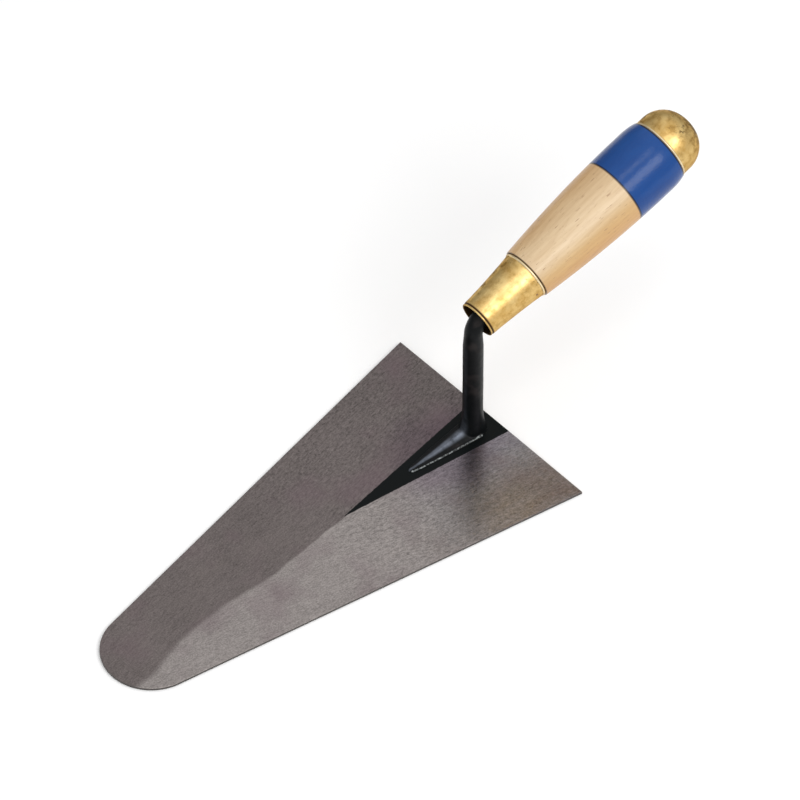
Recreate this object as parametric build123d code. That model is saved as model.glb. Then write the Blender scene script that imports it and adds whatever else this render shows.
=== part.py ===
from build123d import *
from math import asin, atan2, cos, degrees, radians, sin, sqrt, tan
import os

# Brick trowel: a ground steel blade with a square heel and a round nose, a forged shank welded on
# its black centre strip, and a turned wooden grip between a brass ferrule and a brass dome cap.
# Millimetres. +Z is up, the nose points along -X, the grip rises along +X, XZ is the mirror plane.
# The pieces are drawn with the middle of the heel edge at the origin, then moved together so that
# the origin is on the blade's underside, below the middle of the whole trowel.

# ---- driving dimensions ----

# blade
blade_length = 240.0
heel_width = 128.7
nose_radius = 24.7
strip_thickness = 1.6
corner_thickness = 1.3
strip_length = 94.8
strip_heel_width = 25.6

# shank
post_diameter = 10.0
post_setback = 11.8          # from the heel edge to the post's centre line
shank_height = 76.7          # where the post's centre line meets the grip's axis
neck_diameter = 9.0          # of the post where it bends into the ferrule
neck_taper_height = 8.0
bend_radius = 10.0
foot_flare_along = 2.3       # how far the foot spreads beyond the post, in front and behind
foot_flare_across = 1.2      # and on each side
foot_flare_height = 18.0
foot_flare_power = 2.4       # how soon the spread dies away upwards
rib_length = 39.5            # from the post's centre line to the rib's tip
rib_tip_half_width = 1.3
rib_root_half_width = 6.6
rib_tip_height = 0.8
rib_root_height = 5.0
rib_width_power = 0.8        # under 1, the rib's plan is a little fuller than a straight taper
rib_height_power = 2.8       # over 1, its back is hollow and rises steeply at the post
rib_heel_length = 5.5        # how far the rib goes on behind the post's centre line
rib_heel_half_width = 5.3
rib_heel_height = 2.2
tang_root_side = 6.2
tang_tip_side = 3.6
tang_length = 92.0

# ferrule
grip_tilt = 16.1             # degrees, the grip's axis above the blade
ferrule_length = 33.0
ferrule_mouth_radius = 9.85
ferrule_wide_radius = 12.75
ferrule_hollow = 0.35        # how far the middle of its side lies inside a straight taper
ferrule_wall = 0.8
mouth_lip_width = 1.0        # how far the mouth's edge is turned in
mouth_corner_radius = 1.0
bead_width = 1.4
bead_height = 0.25

# brad, driven in from the side
brad_diameter = 1.3
brad_length = 7.0
brad_crown = 0.15
brad_hole_crown = 2.0        # rounds the hole's outer end well clear of the ferrule's side
brad_setback = 4.6           # from the ferrule's wide end

# grip
grip_length = 121.5          # from the ferrule's mouth to the cap's rim
grip_front_radius = 13.65
grip_front_round = 0.5
grip_belly_radius = 18.05
grip_swell = 0.9             # how far the middle of its side stands outside a straight taper
grip_belly_length = 9.5
grip_rear_round = 8.1
grip_rear_radius = 16.95

# end cap
cap_radius = 16.5
cap_skirt_length = 5.0
cap_side_offset = 2.3        # from the axis to the centre of the curve of its side
cap_crown_setback = 6.2      # from the end of the skirt back to the centre of its crown's curve
cap_wall = 0.8
cap_rim_width = 1.2
cap_rim_height = 0.2

# fits
lip_gap = 0.5                # between the neck and the ferrule's lowest edge
neck_room = 2.0              # between the end of the bend and the wood
seat_clearance = 0.05        # between brass and wood
tang_clearance = 0.05
tang_end_gap = 1.0
brad_clearance = 0.02

# ---- places that follow from them ----

tilt = radians(grip_tilt)
post_radius = post_diameter / 2
neck_radius = neck_diameter / 2
post_x = -post_setback

# The ferrule starts just behind the neck, on the grip's axis.
mouth_lead = (neck_radius + lip_gap - ferrule_mouth_radius * sin(tilt)) / cos(tilt)
mouth_centre = (post_x + mouth_lead * cos(tilt), 0, shank_height + mouth_lead * sin(tilt))
grip_axis = (cos(tilt), 0, sin(tilt))
grip_frame = Location(Plane(origin=mouth_centre, x_dir=(0, 1, 0), z_dir=grip_axis))

# The bend is tangent to the post and to the grip's axis.
bend_angle = 90 - grip_tilt
bend_tangent = bend_radius * tan(radians(bend_angle / 2))
bend_start_height = shank_height - bend_tangent

# Stations are distances along the grip's axis from the ferrule's mouth.
tang_start = bend_tangent - mouth_lead
tang_end = tang_start + tang_length
spigot_start = tang_start + neck_room
brad_station = ferrule_length - brad_setback
rear_round_start = grip_length - grip_rear_round
belly_start = rear_round_start - grip_belly_length


def revolved(edges):
    """Turns a closed outline of (radius, station) edges about the grip's axis, in its place."""
    outline = Plane.XZ * make_face(edges)
    return grip_frame * revolve(outline, axis=Axis.Z)


# ---- blade ----

def blade_outline():
    """Square heel, straight sides and a round nose that both sides meet as tangents."""
    half_heel = heel_width / 2
    to_nose = Vector(nose_radius - blade_length, -half_heel)
    side_length = sqrt(to_nose.length**2 - nose_radius**2)
    half_angle = degrees(asin(nose_radius / to_nose.length))
    side = to_nose.normalized().rotate(Axis.Z, -half_angle) * side_length
    upper = (side.X, half_heel + side.Y)
    lower = (upper[0], -upper[1])
    heel = Line((0, -half_heel), (0, half_heel))
    nose = ThreePointArc(upper, (-blade_length, 0), lower)
    return make_face([heel, Line((0, half_heel), upper), nose, Line(lower, (0, -half_heel))])


def above_ground_face(side):
    """What grinding takes off one side: all that is above a plane through the strip's border."""
    apex = Vector(-strip_length, 0, strip_thickness)
    border = Vector(0, side * strip_heel_width / 2, strip_thickness) - apex
    corner = Vector(0, side * heel_width / 2, corner_thickness) - apex
    plane = Plane(origin=apex, x_dir=border, z_dir=border.cross(corner) * side)
    reach = 3 * blade_length
    block = Box(reach, reach, strip_thickness, align=(Align.CENTER, Align.CENTER, Align.MIN))
    return plane * block


def make_blade():
    plate = extrude(blade_outline(), strip_thickness)
    return plate - above_ground_face(1) - above_ground_face(-1)


# ---- shank ----

foot_section_count = 5
foot_section_crowding = 1.4  # over 1, the ovals stand closer together near the blade
rib_section_count = 5


def make_foot():
    """The post's foot: ovals that spread towards the blade in a hollow curve."""
    sections = []
    for index in range(foot_section_count):
        rise = (index / (foot_section_count - 1))**foot_section_crowding
        spread = (1 - rise)**foot_flare_power
        half_length = post_radius + foot_flare_along * spread
        half_width = post_radius + foot_flare_across * spread
        height = strip_thickness + foot_flare_height * rise
        sections.append(Pos(post_x, 0, height) * Ellipse(half_length, half_width))
    return loft(sections)


def rib_section(along, half_width, height):
    """An arch on the blade, at a place measured rearwards from the post's centre line."""
    arch = ThreePointArc((-half_width, 0), (0, height), (half_width, 0))
    face = make_face([arch, Line((half_width, 0), (-half_width, 0))])
    where = (post_x + along, 0, strip_thickness)
    return Plane(origin=where, x_dir=(0, 1, 0), z_dir=(1, 0, 0)) * face


def make_rib():
    """The spear of steel under the post: low arches that grow from its tip to the post's centre
    line, then a short heel that sinks away behind the post."""
    sections = []
    for index in range(rib_section_count):
        run = index / (rib_section_count - 1)
        width_gain = (rib_root_half_width - rib_tip_half_width) * run**rib_width_power
        height_gain = (rib_root_height - rib_tip_height) * run**rib_height_power
        half_width = rib_tip_half_width + width_gain
        height = rib_tip_height + height_gain
        sections.append(rib_section(-rib_length * (1 - run), half_width, height))
    heel = rib_section(rib_heel_length, rib_heel_half_width, rib_heel_height)
    return loft(sections) + loft([sections[-1], heel])


def make_post():
    """The round bar from the foot to the bend, drawn down a little at the neck."""
    foot_top = strip_thickness + foot_flare_height
    neck_bottom = bend_start_height - neck_taper_height
    outline = Polyline(
        (0, foot_top),
        (post_radius, foot_top),
        (post_radius, neck_bottom),
        (neck_radius, bend_start_height),
        (0, bend_start_height),
        close=True,
    )
    return Pos(post_x, 0, 0) * revolve(Plane.XZ * make_face(outline), axis=Axis.Z)


def make_bend():
    centre = (post_x + bend_radius, 0, bend_start_height)
    section = Pos(post_x, 0, bend_start_height) * Circle(neck_radius)
    return revolve(section, axis=Axis(centre, (0, 1, 0)), revolution_arc=bend_angle)


def tang_between(start, end, allowance):
    """A length of the square taper, with an allowance added to each of its four sides."""
    sections = []
    for station in (start, end):
        along = (station - tang_start) / tang_length
        side = tang_root_side + (tang_tip_side - tang_root_side) * along
        sections.append(Pos(0, 0, station) * Rectangle(side + 2 * allowance, side + 2 * allowance))
    return grip_frame * loft(sections, ruled=True)


def make_shank():
    tang = tang_between(tang_start, tang_end, 0)
    return make_foot() + make_rib() + make_post() + make_bend() + tang


# ---- ferrule ----

def ferrule_side(start, end, inset):
    """The ferrule's hollow taper between two stations, moved in towards the axis by an inset."""
    hollow = 4 * ferrule_hollow
    points = []
    for station in (start, (start + end) / 2, end):
        along = station / ferrule_length
        straight = ferrule_mouth_radius + (ferrule_wide_radius - ferrule_mouth_radius) * along
        points.append((straight - hollow * along * (1 - along) - inset, station))
    return Spline(*points)


def make_ferrule():
    bead_start = ferrule_length - bead_width
    outside = ferrule_side(mouth_corner_radius, bead_start, 0)
    inside = ferrule_side(mouth_corner_radius, ferrule_length, ferrule_wall)
    bead_middle = (ferrule_wide_radius + bead_height, bead_start + bead_width / 2)
    bead = ThreePointArc(outside @ 1, bead_middle, (ferrule_wide_radius, ferrule_length))
    opening_radius = ferrule_mouth_radius - mouth_lip_width
    lip = (opening_radius, 0)
    corner = TangentArc(lip, outside @ 0, tangent=(1, 0))
    back = Line(bead @ 1, inside @ 1)
    step = Polyline(inside @ 0, (opening_radius, mouth_corner_radius), lip)
    return revolved([corner, outside, bead, back, inside, step])


# ---- brad ----

def brad_pin(radius, length, crown):
    """A pin from the ferrule's side towards the axis; its outer end is domed by the crown."""
    outer_radius = (ferrule_side(brad_station, ferrule_length, 0) @ 0).X
    crown_arc = ThreePointArc((-radius, length), (0, length + crown), (radius, length))
    walls = Polyline((radius, length), (radius, 0), (-radius, 0), (-radius, length))
    profile = make_face([crown_arc, walls])
    half = profile & Pos(length, 0) * Rectangle(2 * length, 4 * length)
    pin = revolve(Plane.XZ * half, axis=Axis.Z)
    return grip_frame * Location((length - outer_radius, 0, brad_station), (0, -90, 0)) * pin


def brad_hole():
    return brad_pin(brad_diameter / 2 + brad_clearance, brad_length + brad_clearance, brad_hole_crown)


# ---- end cap ----

def dome(inset):
    """The side curve and the crown of the cap's outside, both moved in by an inset."""
    skirt_end = grip_length + cap_skirt_length
    side_centre = Vector(cap_side_offset, skirt_end)
    side_radius = cap_radius - cap_side_offset - inset
    crown_centre = Vector(0, skirt_end - cap_crown_setback)
    crown_radius = side_radius + (side_centre - crown_centre).length
    meeting = atan2(cap_crown_setback, cap_side_offset)
    halfway_up = (meeting + radians(90)) / 2
    side_end = side_centre + Vector(cos(meeting), sin(meeting)) * side_radius
    side_middle = side_centre + Vector(cos(meeting / 2), sin(meeting / 2)) * side_radius
    crown_middle = crown_centre + Vector(cos(halfway_up), sin(halfway_up)) * crown_radius
    side = ThreePointArc(side_centre + Vector(side_radius, 0), side_middle, side_end)
    crown = ThreePointArc(side_end, crown_middle, crown_centre + Vector(0, crown_radius))
    return side, crown


def make_end_cap():
    outer_side, outer_crown = dome(0)
    inner_side, inner_crown = dome(cap_wall)
    rim_end = (cap_radius, grip_length + cap_rim_width)
    rim_middle = (cap_radius + cap_rim_height, grip_length + cap_rim_width / 2)
    rim = ThreePointArc((cap_radius, grip_length), rim_middle, rim_end)
    skirt = Line(rim_end, outer_side @ 0)
    wall = Line(outer_crown @ 1, inner_crown @ 1)
    inner_skirt = Polyline(inner_side @ 0, (cap_radius - cap_wall, grip_length), rim @ 0)
    return revolved([rim, skirt, outer_side, outer_crown, wall, inner_crown, inner_side, inner_skirt])


# ---- grip ----

def grip_body():
    """The turned wood: spigot, swelling body and domed tenon."""
    spigot = ferrule_side(spigot_start, ferrule_length, ferrule_wall + seat_clearance)
    front_edge = (grip_front_radius - grip_front_round, ferrule_length)
    front = (grip_front_radius, ferrule_length + grip_front_round)
    belly = (grip_belly_radius, belly_start)
    middle_radius = (grip_front_radius + grip_belly_radius) / 2 + grip_swell
    middle = (middle_radius, (front[1] + belly_start) / 2)
    rear = (grip_belly_radius, rear_round_start)
    tenon_side, tenon_crown = dome(cap_wall + seat_clearance)
    edges = [
        Polyline((0, spigot_start), spigot @ 0),
        spigot,
        Line(spigot @ 1, front_edge),
        TangentArc(front_edge, front, tangent=(1, 0)),
        ThreePointArc(front, middle, belly),
        Line(belly, rear),
        TangentArc(rear, (grip_rear_radius, grip_length), tangent=(0, 1)),
        Polyline((grip_rear_radius, grip_length), ((tenon_side @ 0).X, grip_length), tenon_side @ 0),
        tenon_side,
        tenon_crown,
        Line(tenon_crown @ 1, (0, spigot_start)),
    ]
    return revolved(edges)


def make_grip():
    tang_hole = tang_between(spigot_start, tang_end + tang_end_gap, tang_clearance)
    return grip_body() - tang_hole - brad_hole()


# ---- assembly ----

pieces = {
    "blade": make_blade(),
    "shank": make_shank(),
    "ferrule": make_ferrule() - brad_hole(),
    "ferrule_brad": brad_pin(brad_diameter / 2, brad_length, brad_crown),
    "grip": make_grip(),
    "end_cap": make_end_cap(),
}
middle = Compound(list(pieces.values())).bounding_box().center()

os.makedirs("parts", exist_ok=True)
for name, piece in pieces.items():
    placed = Pos(-middle.X, 0, 0) * piece
    export_step(placed, f"parts/{name}.step")
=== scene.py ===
import random
from math import acos, atan2, cos, degrees, hypot, radians, sin, tan

import bpy
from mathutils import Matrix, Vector


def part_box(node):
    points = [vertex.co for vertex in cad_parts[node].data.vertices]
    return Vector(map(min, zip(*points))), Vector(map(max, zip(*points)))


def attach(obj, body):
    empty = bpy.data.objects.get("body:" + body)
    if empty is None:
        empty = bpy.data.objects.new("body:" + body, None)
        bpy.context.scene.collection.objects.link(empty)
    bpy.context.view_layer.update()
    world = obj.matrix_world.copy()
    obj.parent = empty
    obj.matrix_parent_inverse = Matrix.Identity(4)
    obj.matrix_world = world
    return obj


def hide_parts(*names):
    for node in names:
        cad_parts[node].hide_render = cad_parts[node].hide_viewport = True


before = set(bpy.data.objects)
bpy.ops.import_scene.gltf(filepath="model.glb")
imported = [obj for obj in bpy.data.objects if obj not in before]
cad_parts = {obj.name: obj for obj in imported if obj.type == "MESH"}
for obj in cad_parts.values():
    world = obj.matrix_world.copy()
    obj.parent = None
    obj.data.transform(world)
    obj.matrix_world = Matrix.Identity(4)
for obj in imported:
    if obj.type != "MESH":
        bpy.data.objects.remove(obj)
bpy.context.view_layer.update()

MM = 0.001

# ---- Blade ----------------------------------------------------------------------------------
# A steel plate cut to a square heel and a round nose. Both halves of its top are ground bright on
# a belt, each along its own long edge, and a long triangle between them keeps the black lacquer.
# The left half is coloured darker as painted shade and the right half paler as painted light.
# Left and right are as seen from the nose, so the left is +Y.

blade_low, blade_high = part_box("blade")
heel_x = blade_high.x
heel_half_width = blade_high.y
plate_thickness = blade_high.z
corner_thickness = 1.3 * MM
nose_radius = 24.7 * MM
strip_length = 94.8 * MM
strip_half_width = 12.8 * MM
edge_bevel = 0.15 * MM
wave_height = 0.05 * MM
nose_centre_x = blade_low.x + nose_radius
heel_to_nose_centre = heel_x - nose_centre_x
diagonal = hypot(heel_to_nose_centre, heel_half_width)
side_slant = acos(nose_radius / diagonal) - atan2(heel_to_nose_centre, heel_half_width)


def start_piece(name):
    """Names the primitive that was just added and opens it in edit mode."""
    piece = bpy.context.object
    piece.name = name
    piece.data.name = name
    bpy.ops.object.mode_set(mode="EDIT")
    return piece


def finish_piece(piece, slot, *replaced):
    """Puts the piece's place into its mesh, then ties it to the trowel's one body."""
    bpy.ops.object.mode_set(mode="OBJECT")
    bpy.ops.object.transform_apply(location=True, rotation=True, scale=True)
    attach(piece, "root")
    if replaced:
        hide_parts(*replaced)
    bpy.ops.object.select_all(action="DESELECT")


def cut(point, normal, trim=False):
    """Cuts the whole piece along a plane; a trim also takes away and closes what lies beyond."""
    bpy.ops.mesh.select_all(action="SELECT")
    bpy.ops.mesh.bisect(plane_co=point, plane_no=normal, use_fill=trim, clear_outer=trim,
                        threshold=0.001 * MM)


def apply_modifier(piece, kind, **settings):
    modifier = piece.modifiers.new(kind.lower(), kind)
    for name, value in settings.items():
        setattr(modifier, name, value)
    bpy.ops.object.modifier_apply(modifier=modifier.name)


bpy.ops.object.select_all(action="DESELECT")
plate_middle = ((blade_low.x + heel_x) / 2, 0, plate_thickness / 2)
plate_size = (heel_x - blade_low.x, 2 * heel_half_width, plate_thickness)
bpy.ops.mesh.primitive_cube_add(size=1, location=plate_middle, scale=plate_size)
bpy.ops.object.transform_apply(location=True, rotation=True, scale=True)
plate = start_piece("ground_blade")

# The two long edges and the nose are one run of tangent cuts round the nose's centre.
nose_step = radians(3)
first_cut = radians(90) + side_slant
last_cut = radians(270) - side_slant
cut_count = round((last_cut - first_cut) / nose_step)
for index in range(cut_count + 1):
    turn = first_cut + (last_cut - first_cut) * index / cut_count
    outward = Vector((cos(turn), sin(turn), 0))
    cut(Vector((nose_centre_x, 0, 0)) + outward * nose_radius, outward, trim=True)

# Each half is ground a little thinner towards its corner, from the border of the black strip.
strip_apex = Vector((heel_x - strip_length, 0, 0))
cut(strip_apex, (0, 1, 0))
for side in (1, -1):
    cut(strip_apex, (-strip_half_width, side * strip_length, 0))
bpy.ops.object.mode_set(mode="OBJECT")
for vertex in plate.data.vertices:
    strip_here = strip_half_width * (vertex.co.x - strip_apex.x) / strip_length
    beyond_strip = max(0, abs(vertex.co.y) - strip_here) / (heel_half_width - strip_half_width)
    if vertex.co.z > plate_thickness / 2:
        vertex.co.z -= (plate_thickness - corner_thickness) * beyond_strip
bpy.ops.object.mode_set(mode="EDIT")
bpy.ops.mesh.select_all(action="DESELECT")
bpy.ops.mesh.edges_select_sharp(sharpness=radians(30))
bpy.ops.mesh.bevel(offset=edge_bevel, segments=2, affect="EDGES")

# The belt leaves both faces very slightly wavy.
grid = 5 * MM
for index in range(1, int(plate_size[0] / grid) + 1):
    cut((blade_low.x + index * grid, 0, 0), (1, 0, 0))
for index in range(1, int(heel_half_width / grid) + 1):
    cut((0, index * grid, 0), (0, 1, 0))
    cut((0, -index * grid, 0), (0, 1, 0))
bpy.ops.object.mode_set(mode="OBJECT")
top_side = plate.vertex_groups.new(name="top_side")
top_side.add([v.index for v in plate.data.vertices if v.co.z > corner_thickness / 2], 1, "REPLACE")
belt_waves = bpy.data.textures.new("belt_waves", "CLOUDS")
belt_waves.noise_scale = 28 * MM
apply_modifier(plate, "DISPLACE", texture=belt_waves, texture_coords="LOCAL", direction="Z",
               vertex_group="top_side", strength=wave_height, mid_level=1.0)
bpy.ops.object.shade_smooth_by_angle(angle=radians(20))
bpy.ops.object.mode_set(mode="EDIT")


class Nodes:
    """A node tree, with short ways to add the nodes that the finishes are made of."""

    def __init__(self, owner, shader="Principled BSDF"):
        owner.use_nodes = True
        self.owner = owner
        self.tree = owner.node_tree
        self.shader = self.tree.nodes[shader]

    def link(self, value, socket):
        if isinstance(value, bpy.types.NodeSocket):
            self.tree.links.new(value, socket)
        else:
            socket.default_value = value

    def place(self, offset=(0, 0, 0), turn=(0, 0, 0), scale=(1, 1, 1), vector=None):
        """The piece's own coordinates in metres, scaled, turned and then moved."""
        if vector is None:
            vector = self.tree.nodes.new("ShaderNodeTexCoord").outputs["Object"]
        mapping = self.tree.nodes.new("ShaderNodeMapping")
        self.link(vector, mapping.inputs["Vector"])
        mapping.inputs["Location"].default_value = offset
        mapping.inputs["Rotation"].default_value = turn
        mapping.inputs["Scale"].default_value = scale
        return mapping.outputs["Vector"]

    def split(self, vector):
        node = self.tree.nodes.new("ShaderNodeSeparateXYZ")
        self.link(vector, node.inputs[0])
        return node.outputs["X"], node.outputs["Y"], node.outputs["Z"]

    def join(self, x, y, z):
        node = self.tree.nodes.new("ShaderNodeCombineXYZ")
        for value, socket in zip((x, y, z), node.inputs):
            self.link(value, socket)
        return node.outputs[0]

    def math(self, operation, first, second=0.0):
        node = self.tree.nodes.new("ShaderNodeMath")
        node.operation = operation
        self.link(first, node.inputs[0])
        self.link(second, node.inputs[1])
        return node.outputs[0]

    def noise(self, vector, scale, detail=3.0, roughness=0.5, distortion=0.0):
        node = self.tree.nodes.new("ShaderNodeTexNoise")
        self.link(vector, node.inputs["Vector"])
        node.inputs["Scale"].default_value = scale
        node.inputs["Detail"].default_value = detail
        node.inputs["Roughness"].default_value = roughness
        node.inputs["Distortion"].default_value = distortion
        return node.outputs["Fac"]

    def spread(self, value, low, high, to_low=0.0, to_high=1.0, soft=False):
        """A value between two limits, spread over a new range and held inside it."""
        node = self.tree.nodes.new("ShaderNodeMapRange")
        node.interpolation_type = "SMOOTHSTEP" if soft else "LINEAR"
        node.clamp = True
        for item, socket in zip((value, low, high, to_low, to_high), node.inputs):
            self.link(item, socket)
        return node.outputs[0]

    def mix(self, share, first, second, blend="MIX"):
        """Two colours mixed; a colour is three numbers or another node's output."""
        node = self.tree.nodes.new("ShaderNodeMix")
        node.data_type = "RGBA"
        node.blend_type = blend
        self.link(share, node.inputs["Factor"])
        for colour, socket in zip((first, second), (node.inputs["A"], node.inputs["B"])):
            if isinstance(colour, tuple):
                colour = (*colour, 1)
            self.link(colour, socket)
        return node.outputs["Result"]

    def bump(self, height, distance, strength=1.0, under=None):
        node = self.tree.nodes.new("ShaderNodeBump")
        self.link(height, node.inputs["Height"])
        node.inputs["Distance"].default_value = distance
        node.inputs["Strength"].default_value = strength
        if under is not None:
            self.link(under, node.inputs["Normal"])
        return node.outputs[0]

    def finish(self, piece, **sockets):
        """Sets the shader's sockets and gives the material to the piece."""
        for name, value in sockets.items():
            socket = self.shader.inputs[name.replace("_", " ")]
            if isinstance(value, tuple) and len(value) == 3:
                value = (*value, 1)
            self.link(value, socket)
        piece.data.materials.clear()
        piece.data.materials.append(self.owner)


def new_finish(name):
    return Nodes(bpy.data.materials.new(name))


painted_lit_steel = (0.292, 0.264, 0.254)
painted_shade_steel = (0.156, 0.134, 0.130)
heel_tint = (0.98, 1.05, 1.13)
plum_stain = (0.170, 0.120, 0.136)
faint_rust = (0.215, 0.185, 0.170)
# The purple round the shank's foot is heat tint and a painted reflection of the post.
heat_tint_and_reflection_colour = (0.77, 0.71, 0.79)
tint_setback = 30 * MM
tint_length = 38 * MM
tint_width = 30 * MM
sheared_steel = (0.115, 0.105, 0.100)
strip_black = (0.0032, 0.0045, 0.0047)

steel = new_finish("ground_steel")
from_heel = steel.place(offset=(-heel_x, 0, 0))
along, across, up = steel.split(from_heel)

# The border between the painted shade on the left half and the painted light on the right half
# wanders towards the right of the nose.
drift = steel.spread(along, -90 * MM, -140 * MM, 0, -4 * MM, soft=True)
nose_drift = steel.spread(along, -188 * MM, -232 * MM, 0, -9 * MM, soft=True)
wobble = steel.noise(from_heel, 55, detail=2)
wobble = steel.spread(wobble, 0.3, 0.7, -0.8 * MM, 0.8 * MM)
shade_border = steel.math("ADD", steel.math("ADD", drift, nose_drift), wobble)
blur = steel.spread(along, -110 * MM, -215 * MM, 0.5 * MM, 2.2 * MM)
from_shade_border = steel.math("DIVIDE", steel.math("SUBTRACT", across, shade_border), blur)
shaded_left_half = steel.spread(from_shade_border, -1, 1, soft=True)

# Belt marks run along each half's own long edge.
lean = steel.math("MULTIPLY", steel.spread(shaded_left_half, 0, 1, 1, -1), tan(side_slant))
slid = steel.math("ADD", across, steel.math("MULTIPLY", along, lean))
marks_at = steel.join(steel.math("MULTIPLY", along, 0.2), slid, up)
fine_marks = steel.noise(marks_at, 1700, detail=4, roughness=0.65)
broad_marks = steel.noise(marks_at, 380, detail=3, roughness=0.6)
grit = steel.noise(from_heel, 1300, detail=2)
clouds = steel.noise(from_heel, 22, detail=3, roughness=0.55)
stain = steel.noise(steel.place(offset=(3, 1, 0)), 34, detail=2)

# Painted shade: the left half gets the dark steel tone. Painted light: the right half gets the pale one.
lit_and_shaded_steel = steel.mix(shaded_left_half, painted_lit_steel, painted_shade_steel)
tone = steel.math("ADD", steel.spread(fine_marks, 0.25, 0.75, 0.74, 1.26),
                  steel.spread(broad_marks, 0.3, 0.7, -0.06, 0.06))
tone = steel.math("ADD", tone, steel.spread(clouds, 0.3, 0.7, -0.08, 0.08))
tone = steel.math("ADD", tone, steel.spread(grit, 0.3, 0.7, -0.22, 0.22))
strokes_at = steel.join(steel.math("MULTIPLY", along, 0.55), slid, up)
mottle = steel.noise(strokes_at, 760, detail=2, roughness=0.5)
mottle = steel.spread(mottle, 0.3, 0.7, -0.22, 0.22)
near_heel = steel.spread(along, -135 * MM, -80 * MM, 0.15, 1, soft=True)
tone = steel.math("ADD", tone, steel.math("MULTIPLY", mottle, near_heel))
to_heel = steel.spread(along, -75 * MM, -5 * MM, 1, 0.86, soft=True)
tone = steel.math("MULTIPLY", tone, to_heel)
ground = steel.mix(1.0, lit_and_shaded_steel, steel.join(tone, tone, tone), blend="MULTIPLY")
cooler = steel.math("MULTIPLY", steel.spread(along, -75 * MM, -5 * MM),
                    steel.spread(shaded_left_half, 0, 1, 1, 0))
ground = steel.mix(cooler, ground, heel_tint, blend="MULTIPLY")
ground = steel.mix(steel.spread(stain, 0.50, 0.72, 0, 0.45), ground, plum_stain)
rust_tint = steel.noise(steel.place(offset=(1, 5, 0)), 41, detail=3)
ground = steel.mix(steel.spread(rust_tint, 0.54, 0.74, 0, 0.16), ground, faint_rust)

# Welding the shank on has left a purplish heat tint round its foot, and the same darker purple patch
# is a painted reflection of the post.
round_foot = steel.place(offset=(tint_setback - heel_x, 0, 0))
round_foot = steel.place(scale=(1 / tint_length, 1 / tint_width, 0), vector=round_foot)
tint_x, tint_y, _ = steel.split(round_foot)
tint_reach = steel.math("SQRT", steel.math("ADD", steel.math("POWER", tint_x, 2.0),
                                           steel.math("POWER", tint_y, 2.0)))
tint_reach = steel.math("ADD", tint_reach, steel.spread(stain, 0.3, 0.7, -0.2, 0.2))
heat_tint_and_reflection = steel.spread(tint_reach, 0.45, 1.15, 1, 0, soft=True)
ground = steel.mix(heat_tint_and_reflection, ground, heat_tint_and_reflection_colour, blend="MULTIPLY")

strip_width_here = steel.math("MULTIPLY", steel.math("ADD", along, strip_length),
                              strip_half_width / strip_length)
inside_strip = steel.math("SUBTRACT", strip_width_here, steel.math("ABSOLUTE", across))
ragged = steel.spread(steel.noise(from_heel, 420, detail=3), 0.3, 0.7, -0.12 * MM, 0.12 * MM)
inside_strip = steel.math("ADD", inside_strip, ragged)
black = steel.spread(inside_strip, -0.2 * MM, 0.1 * MM)
black = steel.math("MULTIPLY", black, steel.math("GREATER_THAN", up, 0.6 * plate_thickness))

# The sheared rim is darker and rougher than the ground faces.
rim = steel.math("MULTIPLY", steel.spread(up, 0.02 * MM, 0.10 * MM),
                 steel.spread(up, corner_thickness - 0.12 * MM, corner_thickness - 0.04 * MM, 1, 0))
ground = steel.mix(rim, ground, sheared_steel)

waves = steel.bump(clouds, 0.25 * MM, 0.5)
waves = steel.bump(mottle, 0.03 * MM, 0.6, under=waves)
marks_bump = steel.bump(fine_marks, 0.012 * MM, 0.5, under=waves)
rough = steel.math("ADD", steel.spread(black, 0, 1, 0.31, 0.42),
                   steel.spread(broad_marks, 0.3, 0.7, -0.04, 0.04))
steel.finish(
    plate,
    Base_Color=steel.mix(black, ground, strip_black),
    Metallic=steel.spread(black, 0, 1, 1, 0),
    Roughness=steel.math("ADD", rough, steel.math("MULTIPLY", rim, 0.25)),
    Specular_IOR_Level=0.08,
    Normal=marks_bump,
)
finish_piece(plate, "ground_steel", "blade")

# ---- Shank ----------------------------------------------------------------------------------
# One black forging: a spear of steel that lies along the strip and is welded down on both sides,
# a round post that flares into it, and a bend that turns into the square tang inside the grip.

grip_tilt = radians(16.1)
post_radius = 5.0 * MM
post_setback = 11.8 * MM
post_x = heel_x - post_setback
shank_height = 76.7 * MM
neck_radius = 4.5 * MM
neck_taper_height = 8 * MM
bend_radius = 10 * MM
bend_angle = radians(90) - grip_tilt
bend_start_height = shank_height - bend_radius * tan(bend_angle / 2)
foot_flare_height = 18 * MM
foot_flare_along = 2.3 * MM
foot_flare_across = 1.2 * MM
foot_flare_power = 2.4
foot_sink = 0.6 * MM
rib_length = 39.5 * MM
rib_tip_half_width = 1.3 * MM
rib_root_half_width = 6.6 * MM
rib_tip_height = 0.8 * MM
rib_root_height = 5.0 * MM
rib_width_power = 0.8
rib_height_power = 2.8
tip_weld_radius = 1.5 * MM
tip_weld_sink = 0.3 * MM
forging_grain = 0.30 * MM
tang_length = 92 * MM
tang_root_side = 6.2 * MM
tang_tip_side = 3.6 * MM
tang_bevel = 0.4 * MM
tang_overlap = 0.5 * MM
strip_top = plate_thickness
grip_axis = Vector((cos(grip_tilt), 0, sin(grip_tilt)))


def next_ring(move, scale, centre):
    """Pulls the selected ring out into a new one, then scales it about its own centre."""
    bpy.ops.mesh.extrude_region_move(TRANSFORM_OT_translate={"value": move})
    bpy.ops.transform.resize(value=scale, center_override=centre)


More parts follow.
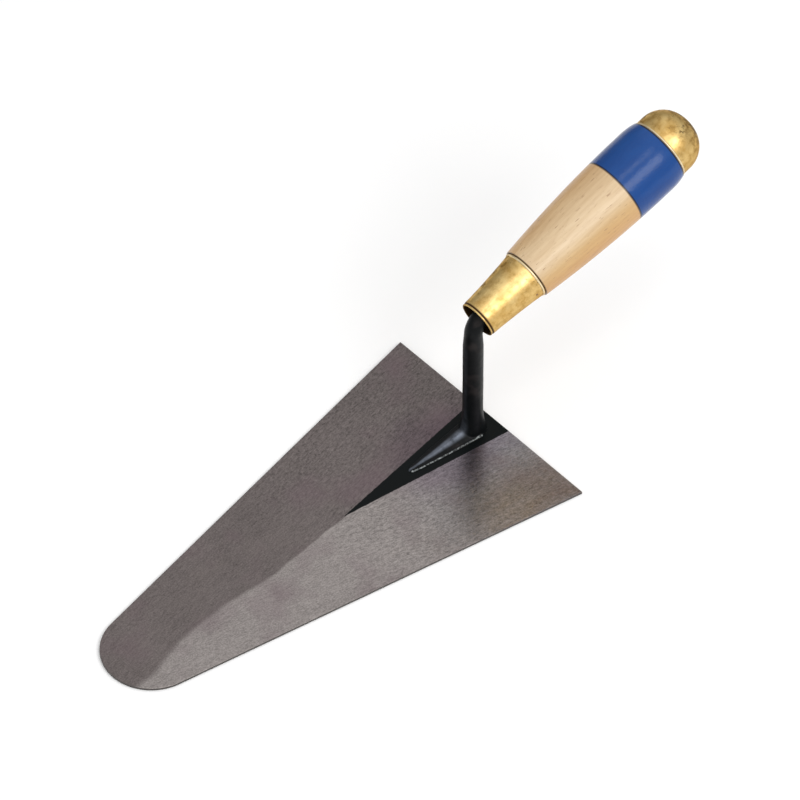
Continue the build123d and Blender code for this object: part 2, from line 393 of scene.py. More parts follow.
bpy.ops.mesh.primitive_circle_add(vertices=64, radius=post_radius, fill_type="NGON",
                                  location=(post_x, 0, strip_top - foot_sink))
bpy.ops.object.transform_apply(location=True, rotation=True, scale=True)
shank = start_piece("forged_shank")
foot_steps = 14
bpy.ops.mesh.select_all(action="SELECT")
wide = (post_radius + foot_flare_along, post_radius + foot_flare_across)
bpy.ops.transform.resize(value=(wide[0] / post_radius, wide[1] / post_radius, 1),
                         center_override=(post_x, 0, strip_top))
height = strip_top - foot_sink
for index in range(foot_steps + 1):
    rise = index / foot_steps
    spread = (1 - rise)**foot_flare_power
    narrow = (post_radius + foot_flare_along * spread, post_radius + foot_flare_across * spread)
    new_height = strip_top + foot_flare_height * rise
    next_ring((0, 0, new_height - height), (narrow[0] / wide[0], narrow[1] / wide[1], 1),
              (post_x, 0, new_height))
    wide, height = narrow, new_height
neck_bottom = bend_start_height - neck_taper_height
next_ring((0, 0, neck_bottom - height), (1, 1, 1), (post_x, 0, neck_bottom))
neck_scale = neck_radius / post_radius
next_ring((0, 0, neck_taper_height), (neck_scale, neck_scale, 1), (post_x, 0, bend_start_height))
bpy.ops.mesh.spin(steps=16, angle=-bend_angle, axis=(0, 1, 0),
                  center=(post_x + bend_radius, 0, bend_start_height))

# The spear: tent-shaped rings that shrink from behind the post to a blunt tip.
spear_start = 5.5 * MM


def spear_half_width(run):
    gain = (rib_root_half_width - rib_tip_half_width) * run**rib_width_power
    return rib_tip_half_width + gain


bpy.ops.mesh.primitive_circle_add(vertices=4, radius=1 * MM, fill_type="NGON",
                                  location=(post_x + spear_start, 0, strip_top),
                                  rotation=(0, radians(90), 0))
wide = (rib_root_half_width * 0.80, rib_root_height * 0.45)
bpy.ops.transform.resize(value=(1, wide[0] / MM, wide[1] / MM),
                         center_override=(post_x, 0, strip_top))
spear_rings = [(0.4 * spear_start, rib_root_half_width * 0.95, rib_root_height * 0.7)]
spear_steps = 14
for index in range(spear_steps + 1):
    run = 1 - index / spear_steps
    rise = rib_tip_height + (rib_root_height - rib_tip_height) * run**rib_height_power
    spear_rings.append(((run - 1) * rib_length, spear_half_width(run), rise))
place = spear_start
for new_place, half_width, rise in spear_rings:
    next_ring((new_place - place, 0, 0), (1, half_width / wide[0], rise / wide[1]),
              (post_x + new_place, 0, strip_top))
    wide, place = (half_width, rise), new_place

# Weld beads down both edges of the spear, smaller on the left, and a blunt lump at its tip.
weld_dice = random.Random(5)
bead_count = 46
bead_share = {1: 0.75, -1: 1}
for side in (1, -1):
    for index in range(bead_count):
        run = index / (bead_count - 1)
        jitter = weld_dice.uniform(-0.12, 0.12) * MM
        place = (post_x - rib_length * (1 - run), side * spear_half_width(run) + jitter, strip_top)
        bead_radius = weld_dice.uniform(0.55, 0.80) * MM * bead_share[side]
        bpy.ops.mesh.primitive_ico_sphere_add(subdivisions=2, location=place, radius=bead_radius)
bpy.ops.mesh.primitive_ico_sphere_add(subdivisions=2, radius=tip_weld_radius,
                                      location=(post_x - rib_length, 0, strip_top - tip_weld_sink))
bpy.ops.mesh.select_all(action="SELECT")
bpy.ops.mesh.normals_make_consistent(inside=False)
bpy.ops.object.mode_set(mode="OBJECT")
apply_modifier(shank, "REMESH", mode="VOXEL", voxel_size=forging_grain)
apply_modifier(shank, "SMOOTH", factor=0.5, iterations=5)
forge_marks = bpy.data.textures.new("forge_marks", "CLOUDS")
forge_marks.noise_scale = 7 * MM
apply_modifier(shank, "DISPLACE", texture=forge_marks, texture_coords="LOCAL",
               strength=0.16 * MM, mid_level=0.5)
bpy.ops.object.mode_set(mode="EDIT")
cut((post_x, 0, strip_top), (0, 0, -1), trim=True)
bpy.ops.object.mode_set(mode="OBJECT")
bpy.ops.object.shade_smooth_by_angle(angle=radians(50))

# The tang, a square taper that ends inside the grip.
bend_end = Vector((post_x, 0, shank_height)) + grip_axis * bend_radius * tan(bend_angle / 2)
tang_middle = bend_end + grip_axis * (tang_length / 2 - tang_overlap)
bpy.ops.object.select_all(action="DESELECT")
bpy.ops.mesh.primitive_cube_add(size=1, scale=(tang_root_side, tang_root_side, tang_length))
bpy.ops.object.transform_apply(location=True, rotation=True, scale=True)
tang = start_piece("tang")
bpy.ops.mesh.select_all(action="DESELECT")
bpy.ops.object.mode_set(mode="OBJECT")
for vertex in tang.data.vertices:
    vertex.select = vertex.co.z > 0
bpy.ops.object.mode_set(mode="EDIT")
tip_share = tang_tip_side / tang_root_side
bpy.ops.transform.resize(value=(tip_share, tip_share, 1), center_override=(0, 0, tang_length / 2))
bpy.ops.mesh.select_all(action="SELECT")
bpy.ops.mesh.bevel(offset=tang_bevel, segments=2, affect="EDGES")
bpy.ops.object.mode_set(mode="OBJECT")
tang.rotation_euler = (0, radians(90) - grip_tilt, 0)
tang.location = tang_middle
bpy.ops.object.transform_apply(location=True, rotation=True, scale=True)
shank.select_set(True)
bpy.context.view_layer.objects.active = shank
bpy.ops.object.join()

deep_black = (0.0022, 0.0030, 0.0034)
dusty_black = (0.0062, 0.0068, 0.0074)
worn_brown = (0.030, 0.024, 0.023)
bare_crest_and_highlight = (0.26, 0.29, 0.35)
bare_weld_and_glints = (0.42, 0.45, 0.45)

lacquer = new_finish("black_lacquer")
here = lacquer.place(offset=(-heel_x, 0, 0))
x, y, z = lacquer.split(here)
pits = lacquer.noise(here, 900, detail=4, roughness=0.6)
lumps = lacquer.noise(here, 170, detail=2)
rubbed = lacquer.noise(here, 260, detail=3)

# The crest of the spear and the weld along its right edge are rubbed to bare metal, and both are
# painted paler: a painted highlight along the crest and painted glints along the weld.
from_tip = lacquer.spread(x, -post_setback - rib_length, -post_setback, 0, 1)
crest_width = lacquer.spread(from_tip, 0.1, 0.9, 1.0 * MM, 4.0 * MM)
crest_wear_and_highlight = lacquer.math("DIVIDE", lacquer.math("ABSOLUTE", lacquer.math("SUBTRACT", y, 0.4 * MM)),
                     crest_width)
crest_wear_and_highlight = lacquer.spread(crest_wear_and_highlight, 0.2, 1.0, 1, 0, soft=True)
crest_wear_and_highlight = lacquer.math("MULTIPLY", crest_wear_and_highlight, lacquer.spread(x, -20 * MM, -16.5 * MM, 1, 0))
crest_wear_and_highlight = lacquer.math("MULTIPLY", crest_wear_and_highlight, lacquer.spread(rubbed, 0.3, 0.6, 0.35, 1))
crest_wear_and_highlight = lacquer.math("MULTIPLY", crest_wear_and_highlight, lacquer.spread(from_tip, 0.05, 0.6, 0.6, 1))
edge_line = lacquer.spread(lacquer.math("POWER", from_tip, rib_width_power), 0, 1,
                           rib_tip_half_width, rib_root_half_width)
beyond_weld = lacquer.math("ABSOLUTE", lacquer.math("ADD", y, edge_line))
weld_wear_and_glints = lacquer.spread(beyond_weld, 0.15 * MM, 0.55 * MM, 1, 0)
weld_wear_and_glints = lacquer.math("MULTIPLY", weld_wear_and_glints, lacquer.spread(z, 1.75 * MM, 2.0 * MM))
weld_wear_and_glints = lacquer.math("MULTIPLY", weld_wear_and_glints, lacquer.spread(x, -11 * MM, -8.5 * MM, 1, 0))
weld_wear_and_glints = lacquer.math("MULTIPLY", weld_wear_and_glints, lacquer.spread(pits, 0.42, 0.58, 0.10, 1))

worn_neck = lacquer.noise(here, 95, detail=2)
worn_neck = lacquer.spread(worn_neck, 0.6, 0.72, 0, 0.5)
blacks = lacquer.mix(lacquer.spread(lumps, 0.35, 0.7), deep_black, dusty_black)
blacks = lacquer.mix(worn_neck, blacks, worn_brown)
# Wear and a painted highlight on the crest, wear and painted glints on the weld.
blacks = lacquer.mix(lacquer.math("MULTIPLY", crest_wear_and_highlight, 0.70), blacks, bare_crest_and_highlight)
blacks = lacquer.mix(lacquer.math("MULTIPLY", weld_wear_and_glints, 0.70), blacks, bare_weld_and_glints)
lacquer.finish(
    shank,
    Base_Color=blacks,
    Metallic=lacquer.math("MULTIPLY", lacquer.math("MAXIMUM", crest_wear_and_highlight, weld_wear_and_glints), 0.6),
    Roughness=lacquer.spread(pits, 0.3, 0.7, 0.30, 0.46),
    Specular_IOR_Level=0.12,
    Normal=lacquer.bump(pits, 0.05 * MM, 0.6, under=lacquer.bump(lumps, 0.25 * MM, 0.5)),
)
finish_piece(shank, "black_steel", "shank")

# ---- Ferrule --------------------------------------------------------------------------------
# A drawn brass collar, a hollow taper with a turned-in mouth in front and a rolled bead with a
# fine groove at the wide end. It is driven over the spigot of the grip.

mouth_radius = 9.85 * MM
wide_radius = 12.75 * MM
ferrule_length = 33.0 * MM
grip_length = 121.5 * MM
ferrule_hollow = 0.35 * MM
ferrule_wall = 0.8 * MM
lip_gap = 0.5 * MM
corner = 1.0 * MM
lip_radius = 0.45 * MM
lip_inset = 0.05 * MM
lip_groove = 0.16 * MM
side_start = 1.6 * MM
bead_width = 1.4 * MM
bead_start = ferrule_length - bead_width
bead_arc_radius = 0.68 * MM
bead_arc_inset = 0.42 * MM
dent_depth = 0.12 * MM
lathe_corners = 128
mouth_lead = (neck_radius + lip_gap - mouth_radius * sin(grip_tilt)) / cos(grip_tilt)
mouth = Vector((post_x, 0, shank_height)) + grip_axis * mouth_lead


def arc(centre, radius, start, end, steps):
    """Points of (radius, station) round a centre; angles in degrees, 0 outwards, 90 rearwards."""
    points = []
    for index in range(steps + 1):
        turn = radians(start + (end - start) * index / steps)
        points.append((centre[0] + radius * cos(turn), centre[1] + radius * sin(turn)))
    return points


def turn_on_lathe(name, profile, ends):
    """Pulls a ring through (radius, station) points along the grip's axis and puts it in place.
    Ends: "loop" joins the last ring to the first, "domed" draws the last ring to a point and closes
    the first, "shell" draws the last ring to a point and leaves the first open, "open" neither."""
    radius, station = profile[0]
    fill = "NGON" if ends == "domed" else "NOTHING"
    bpy.ops.mesh.primitive_circle_add(vertices=lathe_corners, radius=radius, fill_type=fill,
                                      location=(0, 0, station))
    bpy.ops.object.transform_apply(location=True, rotation=True, scale=True)
    piece = start_piece(name)
    bpy.ops.mesh.select_all(action="SELECT")
    for new_radius, new_station in profile[1:]:
        share = new_radius / radius
        next_ring((0, 0, new_station - station), (share, share, 1), (0, 0, new_station))
        radius, station = new_radius, new_station
    if ends in ("domed", "shell"):
        bpy.ops.mesh.merge(type="CENTER")
    if ends == "loop":
        bpy.ops.mesh.select_all(action="DESELECT")
        bpy.ops.mesh.select_non_manifold()
        bpy.ops.mesh.bridge_edge_loops()
    bpy.ops.mesh.select_all(action="SELECT")
    bpy.ops.mesh.normals_make_consistent(inside=False)
    bpy.ops.object.mode_set(mode="OBJECT")
    piece.rotation_euler = (0, radians(90) - grip_tilt, 0)
    piece.location = mouth
    bpy.ops.object.transform_apply(location=True, rotation=True, scale=True)
    bpy.ops.object.shade_smooth_by_angle(angle=radians(40))
    return piece


def ferrule_radius(station):
    share = station / ferrule_length
    hollow = 4 * ferrule_hollow * share * (1 - share)
    return mouth_radius + (wide_radius - mouth_radius) * share - hollow


# From the rolled lip and the groove behind it, rearwards outside and back inside.
lip_centre = (mouth_radius - lip_radius - lip_inset, lip_radius)
ferrule_profile = arc(lip_centre, lip_radius, 200, 400, 12)
for station in (0.95 * MM, 1.25 * MM):
    ferrule_profile.append((ferrule_radius(station) - lip_groove, station))
side_steps = 26
for index in range(side_steps + 1):
    station = side_start + (bead_start - 0.5 * MM - side_start) * index / side_steps
    ferrule_profile.append((ferrule_radius(station), station))
groove = ferrule_radius(bead_start)
ferrule_profile.append((groove - 0.10 * MM, bead_start - 0.28 * MM))
ferrule_profile.append((groove - 0.12 * MM, bead_start - 0.1 * MM))
bead_centre = (wide_radius - bead_arc_inset, ferrule_length - bead_width / 2)
ferrule_profile += arc(bead_centre, bead_arc_radius, -70, 80, 10)
ferrule_profile.append((wide_radius - 0.4 * MM, ferrule_length - 0.01 * MM))
ferrule_profile.append((wide_radius - ferrule_wall, ferrule_length - 0.01 * MM))
inside_steps = 9
for index in range(1, inside_steps + 1):
    station = ferrule_length - (ferrule_length - corner) * index / inside_steps
    ferrule_profile.append((ferrule_radius(station) - ferrule_wall, station))
ferrule_profile.append((mouth_radius - corner, corner))
ferrule = turn_on_lathe("brass_ferrule", ferrule_profile, "loop")

dents = bpy.data.textures.new("dents", "CLOUDS")
dents.noise_scale = 11 * MM
apply_modifier(ferrule, "DISPLACE", texture=dents, texture_coords="LOCAL",
               strength=dent_depth, mid_level=0.5)

yellow_brass = (0.83, 0.61, 0.255)
amber_brass = (0.60, 0.365, 0.100)
rubbed_brass = (0.46, 0.29, 0.10)
polished_brass_and_highlight = (0.95, 0.84, 0.60)
tarnish_and_shade_brown = (0.055, 0.028, 0.011)


def brass_finish(name, piece, tone, speck_limits, smear_share, rear_station, rim_station):
    """Polished brass: fine rubbing marks, dull amber patches and brown specks of oxide.
    Specks and smears grow denser behind rear_station; the bead at rim_station is painted paler, as polish
    and as a painted highlight."""
    brass = new_finish(name)
    here = brass.place(turn=(0, grip_tilt, 0), vector=brass.place(offset=-mouth))
    along, side, height = brass.split(here)
    rubbing = brass.noise(brass.place(scale=(0.25, 1, 1), vector=here), 1500, detail=3)
    patches = brass.noise(here, 130, detail=4, roughness=0.6)
    specks = brass.noise(here, 620, detail=3, roughness=0.6)
    where = brass.noise(here, 60, detail=2)
    smears = brass.noise(here, 260, detail=5, roughness=0.65)
    yellow = tuple(tone * part for part in yellow_brass)
    amber = tuple(tone * part for part in amber_brass)
    colour = brass.mix(brass.spread(patches, 0.35, 0.66), yellow, amber)
    colour = brass.mix(brass.spread(rubbing, 0.35, 0.65, 0, 0.16), colour, rubbed_brass)
    tarnish_and_shade = brass.math("MULTIPLY", brass.spread(specks, *speck_limits),
                         brass.spread(where, 0.42, 0.62))
    rear = brass.spread(along, rear_station - 10 * MM, rear_station + 2 * MM, 0.25, 1.0)
    tarnish_and_shade = brass.math("MULTIPLY", tarnish_and_shade, rear)

    # The left flank is painted brown with a mottled border, partly as patina and partly as painted
    # shade. The groove behind the mouth's rim and the inside are painted dark as painted shade.
    from_axis = brass.math("SQRT", brass.math("ADD", brass.math("POWER", side, 2.0),
                                              brass.math("POWER", height, 2.0)))
    leftward = brass.math("ADD", brass.math("MULTIPLY", side, 0.88),
                          brass.math("MULTIPLY", height, 0.47))
    leftward = brass.math("DIVIDE", leftward, brass.math("ADD", from_axis, 0.5 * MM))
    mottled = brass.spread(smears, 0.3, 0.7, -0.22, 0.22)
    brown_and_shaded_flank = brass.spread(brass.math("ADD", leftward, mottled), 0.78, 1.08, 0, 0.75, soft=True)
    outside = brass.spread(along, 0, ferrule_length, mouth_radius, wide_radius)
    shaded_inside = brass.spread(brass.math("SUBTRACT", outside, from_axis), 0.55 * MM, 0.85 * MM)
    shaded_inside = brass.math("MULTIPLY", shaded_inside, brass.math("LESS_THAN", along, 1.1 * ferrule_length))
    groove = brass.math("MULTIPLY", brass.spread(along, 0.60 * MM, 0.85 * MM),
                        brass.spread(along, 1.5 * MM, 2.0 * MM, 1, 0))

    # Round the tip of the cap's crown it is painted dark and mottled, partly as oxide and partly as a
    # painted dark reflection.
    crown_centre = grip_length + 3 * MM
    crown_x = brass.math("SUBTRACT", along, crown_centre)
    crown_reach = brass.math("SQRT", brass.math("ADD", brass.math("POWER", crown_x, 2.0),
                                                brass.math("POWER", from_axis, 2.0)))
    tipward = brass.math("ADD", brass.math("DIVIDE", crown_x, crown_reach), mottled)
    crown_oxide_and_reflection = brass.spread(tipward, 0.56, 0.92, 0, 0.88, soft=True)
    crown_oxide_and_reflection = brass.math("MULTIPLY", crown_oxide_and_reflection, brass.math("GREATER_THAN", along, grip_length))
    smeared = brass.spread(along, rear_station, rear_station + 10 * MM, 0.35, 1)
    smeared = brass.math("MULTIPLY", smeared, brass.spread(smears, 0.50, 0.68, 0, smear_share))
    for mark in (brown_and_shaded_flank, shaded_inside, groove, crown_oxide_and_reflection, smeared):
        tarnish_and_shade = brass.math("MAXIMUM", tarnish_and_shade, mark)

    # The bead round the rim is painted paler, partly as polish and partly as a painted highlight.
    rim_polish_and_highlight = brass.math("MULTIPLY", brass.spread(along, rim_station, rim_station + 0.2 * MM),
                            brass.spread(along, rim_station + 0.7 * MM, rim_station + 1.1 * MM, 1, 0))
    tarnish_and_shade = brass.math("MULTIPLY", tarnish_and_shade, brass.spread(rim_polish_and_highlight, 0, 1, 1, 0.35))
    colour = brass.mix(brass.math("MULTIPLY", rim_polish_and_highlight, 0.7), colour, polished_brass_and_highlight)
    # This brown is partly oxide and partly painted shade and painted dark reflection.
    colour = brass.mix(tarnish_and_shade, colour, tarnish_and_shade_brown)
    rough = brass.math("ADD", brass.spread(patches, 0.35, 0.68, 0.34, 0.44),
                       brass.math("MULTIPLY", tarnish_and_shade, 0.15))
    brass.finish(
        piece,
        Base_Color=colour,
        Metallic=brass.spread(tarnish_and_shade, 0.2, 0.9, 1, 0.25),
        Roughness=rough,
        Specular_IOR_Level=0.15,
        Specular_Tint=(0.62, 0.46, 0.28),
        Coat_Weight=brass.spread(tarnish_and_shade, 0, 0.6, 0.30, 0),
        Coat_Roughness=0.25,
        Normal=brass.bump(specks, 0.02 * MM, 0.5, under=brass.bump(rubbing, 0.01 * MM, 0.35)),
    )


brass_finish("ferrule_brass", ferrule, tone=1.0, speck_limits=(0.60, 0.72), smear_share=0.45,
             rear_station=30 * MM, rim_station=bead_start)
finish_piece(ferrule, "brass", "ferrule")

# ---- Ferrule brad ---------------------------------------------------------------------------
# A small headless nail driven through the side of the ferrule into the wood and filed flush, so
# only its slightly domed, browned end shows.

brad_radius = 0.65 * MM
brad_length = 7.0 * MM
brad_setback = 4.6 * MM
brad_station = ferrule_length - brad_setback
brad_stands_proud = 0.05 * MM
bpy.ops.mesh.primitive_cylinder_add(vertices=32, radius=brad_radius, depth=brad_length)
brad = start_piece("ferrule_nail")
bpy.ops.mesh.select_all(action="DESELECT")
bpy.ops.object.mode_set(mode="OBJECT")
for face in brad.data.polygons:
    face.select = face.normal.z > 0.9
bpy.ops.object.mode_set(mode="EDIT")
for rise in (0.03, 0.04, 0.02):
    bpy.ops.mesh.inset(thickness=0.15 * MM, depth=rise * MM)
bpy.ops.mesh.merge(type="CENTER")
bpy.ops.object.mode_set(mode="OBJECT")
brad.rotation_euler = (radians(90), 0, 0)
brad_outside = ferrule_radius(brad_station) + brad_stands_proud
brad.location = mouth + grip_axis * brad_station - Vector((0, brad_outside - brad_length / 2, 0))
bpy.ops.object.transform_apply(location=True, rotation=True, scale=True)
bpy.ops.object.shade_smooth_by_angle(angle=radians(40))

nail_brown = (0.20, 0.10, 0.045)
nail_tan = (0.40, 0.24, 0.11)
nail = new_finish("browned_nail")
nail_grain = nail.noise(nail.place(), 2200, detail=3)
nail.finish(
    brad,
    Base_Color=nail.mix(nail.spread(nail_grain, 0.35, 0.65), nail_brown, nail_tan),
    Metallic=1.0,
    Roughness=nail.spread(nail_grain, 0.3, 0.7, 0.35, 0.55),
    Normal=nail.bump(nail_grain, 0.02 * MM, 0.5),
)
finish_piece(brad, "nail_steel", "ferrule_brad")

# ---- Grip -----------------------------------------------------------------------------------
# Turned and varnished beech: a spigot inside the ferrule, a body that swells towards the rear and
# a domed tenon inside the cap. The tang is driven into a blind hole down its middle.

front_radius = 13.65 * MM
front_round = 0.5 * MM
belly_radius = 18.05 * MM
swell = 0.9 * MM
rear_round = 8.1 * MM
belly_length = 9.5 * MM
rear_radius = 16.95 * MM
seat_clearance = 0.05 * MM
spigot_start = 7.2 * MM
hole_radius = 4.45 * MM
hole_bottom_radius = 3.0 * MM
hole_depth = 98 * MM
hole_corner = 1.0 * MM
lacquer_start = 91.8 * MM
lacquer_thickness = 0.12 * MM
cap_radius = 16.5 * MM
cap_skirt_length = 5.0 * MM
cap_side_offset = 2.3 * MM
cap_crown_setback = 6.2 * MM
cap_wall = 0.8 * MM
rear_round_start = grip_length - rear_round
belly_start = rear_round_start - belly_length


def grip_radius(station):
    """The outside of the finished grip, from the ferrule to the cap."""
    if station > rear_round_start:
        drop = belly_radius - rear_radius
        curve = (rear_round**2 + drop**2) / (2 * drop)
        return belly_radius - curve + (curve**2 - (station - rear_round_start)**2)**0.5
    if station > belly_start:
        return belly_radius
    share = (station - ferrule_length - front_round) / (belly_start - ferrule_length - front_round)
    return front_radius + (belly_radius - front_radius) * share + 4 * swell * share * (1 - share)


def dome_profile(inset):
    """The cap's side curve and crown, moved in by an inset."""
    skirt_end = grip_length + cap_skirt_length
    side_radius = cap_radius - cap_side_offset - inset
    crown_radius = side_radius + hypot(cap_side_offset, cap_crown_setback)
    meeting = degrees(atan2(cap_crown_setback, cap_side_offset))
    points = arc((cap_side_offset, skirt_end), side_radius, 0, meeting, 22)
    return points + arc((0, skirt_end - cap_crown_setback), crown_radius, meeting, 89.5, 10)[1:]


# From the bottom of the tang's hole forwards, then rearwards over the spigot and the body.
grip_profile = [(hole_bottom_radius, hole_depth), (hole_radius, hole_depth - hole_corner),
                (hole_radius, spigot_start)]
spigot_steps = 8
for index in range(spigot_steps + 1):
    station = spigot_start + (ferrule_length - spigot_start) * index / spigot_steps
    grip_profile.append((ferrule_radius(station) - ferrule_wall - seat_clearance, station))
body_start = ferrule_length + front_round
grip_profile += arc((front_radius - front_round, body_start), front_round, -90, 0, 5)
body_steps = 30
for index in range(1, body_steps + 1):
    station = body_start + (lacquer_start - body_start) * index / body_steps
    grip_profile.append((grip_radius(station), station))
under_lacquer = lacquer_thickness + 0.01 * MM
coated_start = lacquer_start + 0.15 * MM
coated_steps = 20
for index in range(coated_steps + 1):
    station = coated_start + (grip_length - coated_start) * index / coated_steps
    grip_profile.append((grip_radius(station) - under_lacquer, station))
grip_profile.append((cap_radius - cap_wall - seat_clearance, grip_length + 0.02 * MM))
grip_profile += dome_profile(cap_wall + seat_clearance)
grip = turn_on_lathe("beech_grip", grip_profile, "domed")

pale_beech = (0.67, 0.505, 0.305)
tan_beech = (0.58, 0.400, 0.215)
brown_streak = (0.50, 0.325, 0.165)
cream_beech = (0.70, 0.55, 0.36)
painted_shade_tint = (0.97, 0.80, 0.57)
lower_right_shade_tint = (0.90, 0.79, 0.58)
fleck_brown = (0.30, 0.16, 0.075)
pore_brown = (0.34, 0.20, 0.10)
dark_seam_brown = (0.045, 0.022, 0.012)

wood = new_finish("varnished_beech")
here = wood.place(turn=(0, grip_tilt, 0), vector=wood.place(offset=-mouth))
streaks_at = wood.place(scale=(0.05, 1, 1), vector=here)
bands_at = wood.place(scale=(0.06, 0.5, 1), vector=here)
bands = wood.noise(bands_at, 120, detail=3, roughness=0.55, distortion=0.4)
streaks = wood.noise(streaks_at, 700, detail=4, roughness=0.6)
flecks = wood.noise(wood.place(scale=(0.13, 1, 1), vector=here), 1500, detail=2, roughness=0.5)
fleck_zones = wood.noise(here, 130, detail=2)
pores = wood.noise(wood.place(scale=(0.09, 1, 1), offset=(7, 3, 1), vector=here), 3800, detail=2)
clouds = wood.noise(wood.place(scale=(0.3, 1, 1), vector=here), 45, detail=2)
colour = wood.mix(wood.spread(bands, 0.32, 0.68), pale_beech, tan_beech)
colour = wood.mix(wood.spread(streaks, 0.38, 0.66, 0, 0.62), colour, brown_streak)
colour = wood.mix(wood.spread(clouds, 0.35, 0.7, 0, 0.35), colour, cream_beech)

# The wood is painted palest on its upper right as a painted sheen, and darker and more amber away
# from it and on its lower right as painted shade.
station, side, height = wood.split(here)
from_axis = wood.math("SQRT", wood.math("ADD", wood.math("POWER", side, 2.0),
                                        wood.math("POWER", height, 2.0)))
lit_side = wood.math("ADD", wood.math("MULTIPLY", side, -0.50), wood.math("MULTIPLY", height, 0.865))
lit_side = wood.math("DIVIDE", lit_side, from_axis)
shade_off_lit_side = wood.spread(lit_side, 0.25, 0.95, 1, 0, soft=True)
colour = wood.mix(shade_off_lit_side, colour, painted_shade_tint, blend="MULTIPLY")
# Painted shade on the lower right.
lower_right_shade = wood.math("ADD", wood.math("MULTIPLY", side, -0.865),
                       wood.math("MULTIPLY", height, -0.50))
lower_right_shade = wood.math("DIVIDE", lower_right_shade, from_axis)
lower_right_shade = wood.math("ADD", lower_right_shade, wood.spread(bands, 0.3, 0.7, -0.10, 0.10))
lower_right_shade = wood.spread(lower_right_shade, 0.20, 0.72, 0, 1, soft=True)
colour = wood.mix(lower_right_shade, colour, lower_right_shade_tint, blend="MULTIPLY")

# Short ray flecks and fine pores run with the grain, and the wood is darker along both seams.
fleck_mask = wood.math("MULTIPLY", wood.spread(flecks, 0.64, 0.70),
                       wood.spread(fleck_zones, 0.40, 0.60, 0.2, 0.8))
colour = wood.mix(fleck_mask, colour, fleck_brown)
colour = wood.mix(wood.spread(pores, 0.66, 0.74, 0, 0.45), colour, pore_brown)
front_seam = wood.spread(station, ferrule_length + 0.10 * MM, ferrule_length + 0.42 * MM, 0.8, 0)
paint_seam = wood.spread(station, lacquer_start - 0.60 * MM, lacquer_start - 0.25 * MM, 0, 0.85)
seam = wood.math("MAXIMUM", front_seam, paint_seam)
colour = wood.mix(seam, colour, dark_seam_brown)
wood.finish(
    grip,
    Base_Color=colour,
    Roughness=wood.spread(streaks, 0.3, 0.7, 0.36, 0.46),
    Coat_Weight=0.25,
    Coat_Roughness=0.22,
    Normal=wood.bump(pores, 0.02 * MM, 0.5, under=wood.bump(streaks, 0.03 * MM, 0.4)),
)
finish_piece(grip, "beech", "grip")

# ---- Blue lacquer ---------------------------------------------------------------------------
# The rear quarter of the grip is dipped in gloss lacquer up to the cap. The coat is thin, ends in
# a soft rounded edge on the wood and has a faint orange peel.

coat_start = lacquer_start + lacquer_thickness
coat_end = grip_length - 0.30 * MM
edge_radius = grip_radius(lacquer_start) - lacquer_thickness
coat_profile = arc((edge_radius, coat_start), lacquer_thickness, -85, 0, 5)
coat_steps = 44
for index in range(1, coat_steps + 1):
    station = coat_start + (coat_end - coat_start) * index / coat_steps
    coat_profile.append((grip_radius(station), station))
coat = turn_on_lathe("blue_lacquer_coat", coat_profile, "open")
apply_modifier(coat, "SOLIDIFY", thickness=0.9 * lacquer_thickness, offset=-1)
bpy.ops.object.shade_smooth_by_angle(angle=radians(50))

deep_blue = (0.0030, 0.044, 0.200)
clear_blue = (0.0055, 0.060, 0.245)
dark_edge_blue = (0.0012, 0.0040, 0.0140)

blue = new_finish("blue_lacquer")
here = blue.place(turn=(0, grip_tilt, 0), vector=blue.place(offset=-mouth))
peel = blue.noise(here, 850, detail=2)
depth = blue.noise(blue.place(scale=(0.3, 1, 1), vector=here), 130, detail=3)
blues = blue.mix(blue.spread(depth, 0.3, 0.7), deep_blue, clear_blue)

# The coat is darker along both of its edges.
station = blue.split(here)[0]
dark_coat_edges = blue.math("MAXIMUM",
                       blue.spread(station, lacquer_start + 0.30 * MM, lacquer_start + 0.80 * MM, 0.95, 0),
                       blue.spread(station, grip_length - 1.15 * MM, grip_length - 0.70 * MM, 0, 0.95))
blue.finish(
    coat,
    Base_Color=blue.mix(dark_coat_edges, blues, dark_edge_blue),
    Roughness=blue.spread(peel, 0.3, 0.7, 0.16, 0.25),
    Specular_IOR_Level=0.30,
    Normal=blue.bump(peel, 0.10 * MM, 0.8),
)
finish_piece(coat, "blue_lacquer")

# ---- End cap --------------------------------------------------------------------------------
# A spun brass dome pressed over the tenon. Its rim is rolled to a thin bead, painted pale as
# polish and as a painted highlight, and its crown is painted dark round the tip, as oxide and as a
# painted dark reflection.

rim_width = 1.2 * MM
rim_bead_radius = 0.50 * MM
rim_bead_inset = 0.30 * MM
rim_edge_radius = 0.16 * MM
skirt_start = 1.5 * MM
skirt_steps = 7
cap_dent_depth = 0.10 * MM
cap_profile = arc((cap_radius - rim_edge_radius, grip_length + 0.18 * MM), rim_edge_radius, -90, 0, 3)
rim_centre = (cap_radius - rim_bead_inset, grip_length + rim_width / 2)
cap_profile += arc(rim_centre, rim_bead_radius, -30, 45, 6)
cap_profile.append((cap_radius - 0.05 * MM, grip_length + rim_width))
cap_profile.append((cap_radius - 0.06 * MM, grip_length + 1.35 * MM))
for index in range(1, skirt_steps):
    station = grip_length + skirt_start + (cap_skirt_length - skirt_start) * index / skirt_steps
    cap_profile.append((cap_radius, station))
cap_profile += dome_profile(0)
cap = turn_on_lathe("brass_end_cap", cap_profile, "shell")
apply_modifier(cap, "SOLIDIFY", thickness=0.9 * cap_wall, offset=-1)
apply_modifier(cap, "DISPLACE", texture=dents, texture_coords="LOCAL",
               strength=cap_dent_depth, mid_level=1.0)
bpy.ops.object.shade_smooth_by_angle(angle=radians(50))
brass_finish("cap_brass", cap, tone=0.92, speck_limits=(0.56, 0.70), smear_share=0.7,
             rear_station=grip_length + 6 * MM, rim_station=grip_length)
finish_piece(cap, "brass", "end_cap")

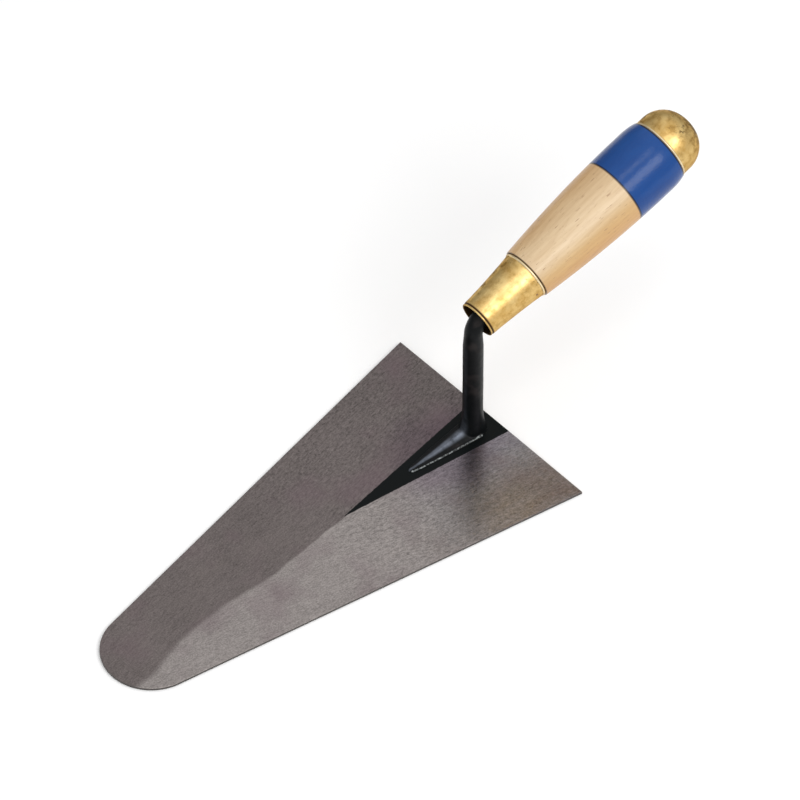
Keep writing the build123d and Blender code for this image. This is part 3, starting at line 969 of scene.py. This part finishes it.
# ---- Stage ----------------------------------------------------------------------------------
# A pale floor under the blade, a wide soft light from the right, a smaller one overhead and a dim
# room, seen through a long lens.

floor_size = 6
floor_drop = 0.3 * MM
light_target = Vector((0.02, 0, 0.05))
bpy.ops.mesh.primitive_plane_add(size=floor_size, location=(0, 0, -floor_drop))
floor = bpy.context.object
floor.name = "floor"
paper = new_finish("pale_floor")
paper.finish(floor, Base_Color=(0.99, 0.99, 0.99), Roughness=0.9)


def soft_light(name, direction, distance, size, power):
    light = bpy.data.lights.new(name, "AREA")
    light.shape = "RECTANGLE"
    light.size, light.size_y = size
    light.energy = power
    holder = bpy.data.objects.new(name, light)
    bpy.context.scene.collection.objects.link(holder)
    holder.location = light_target + Vector(direction).normalized() * distance
    holder.rotation_euler = (light_target - holder.location).to_track_quat("-Z", "Y").to_euler()


soft_light("right_light", direction=(0.036, -0.719, 0.694), distance=1.3, size=(0.74, 0.52), power=4.6)
soft_light("top_light", direction=(-0.054, -0.228, 0.972), distance=1.4, size=(0.60, 0.24), power=1.1)

# The room is brightest above and to the right and falls off to a dim left side, with a soft glow
# high behind the handle.
world = bpy.data.worlds.new("soft_room")
bpy.context.scene.world = world
room = Nodes(world, "Background")
east, north, above = room.split(room.tree.nodes.new("ShaderNodeTexCoord").outputs["Generated"])
slope = room.math("ADD", room.math("MULTIPLY", north, -0.45), room.math("MULTIPLY", above, 0.89))
darkest = 0.28
brightest = 1.12
level = room.math("POWER", room.spread(slope, -0.4, 0.9), 1.5)
level = room.math("ADD", room.math("MULTIPLY", level, brightest - darkest), darkest)
behind = room.math("ADD", room.math("MULTIPLY", east, 0.444), room.math("MULTIPLY", north, 0.490))
behind = room.math("ADD", behind, room.math("MULTIPLY", above, 0.750))
level = room.math("ADD", level, room.spread(behind, 0.85, 0.98, 0, 0.25, soft=True))
room.link(room.join(level, level, level), room.shader.inputs["Color"])
bpy.context.scene.view_settings.view_transform = "Standard"

azimuth = radians(-42.17)
elevation = radians(48.65)
camera_distance = 5.0
lens_length = 469.9
clip_distance = 50
aim = Vector((heel_x - 24.4 * MM, 37.7 * MM, 0))
towards_camera = Vector((sin(azimuth) * cos(elevation), -cos(azimuth) * cos(elevation), sin(elevation)))
lens = bpy.data.cameras.new("long_lens")
lens.lens = lens_length
lens.clip_end = clip_distance
camera = bpy.data.objects.new("camera", lens)
bpy.context.scene.collection.objects.link(camera)
camera.location = aim + towards_camera * camera_distance
camera.rotation_euler = (-towards_camera).to_track_quat("-Z", "Y").to_euler()
bpy.context.scene.camera = camera
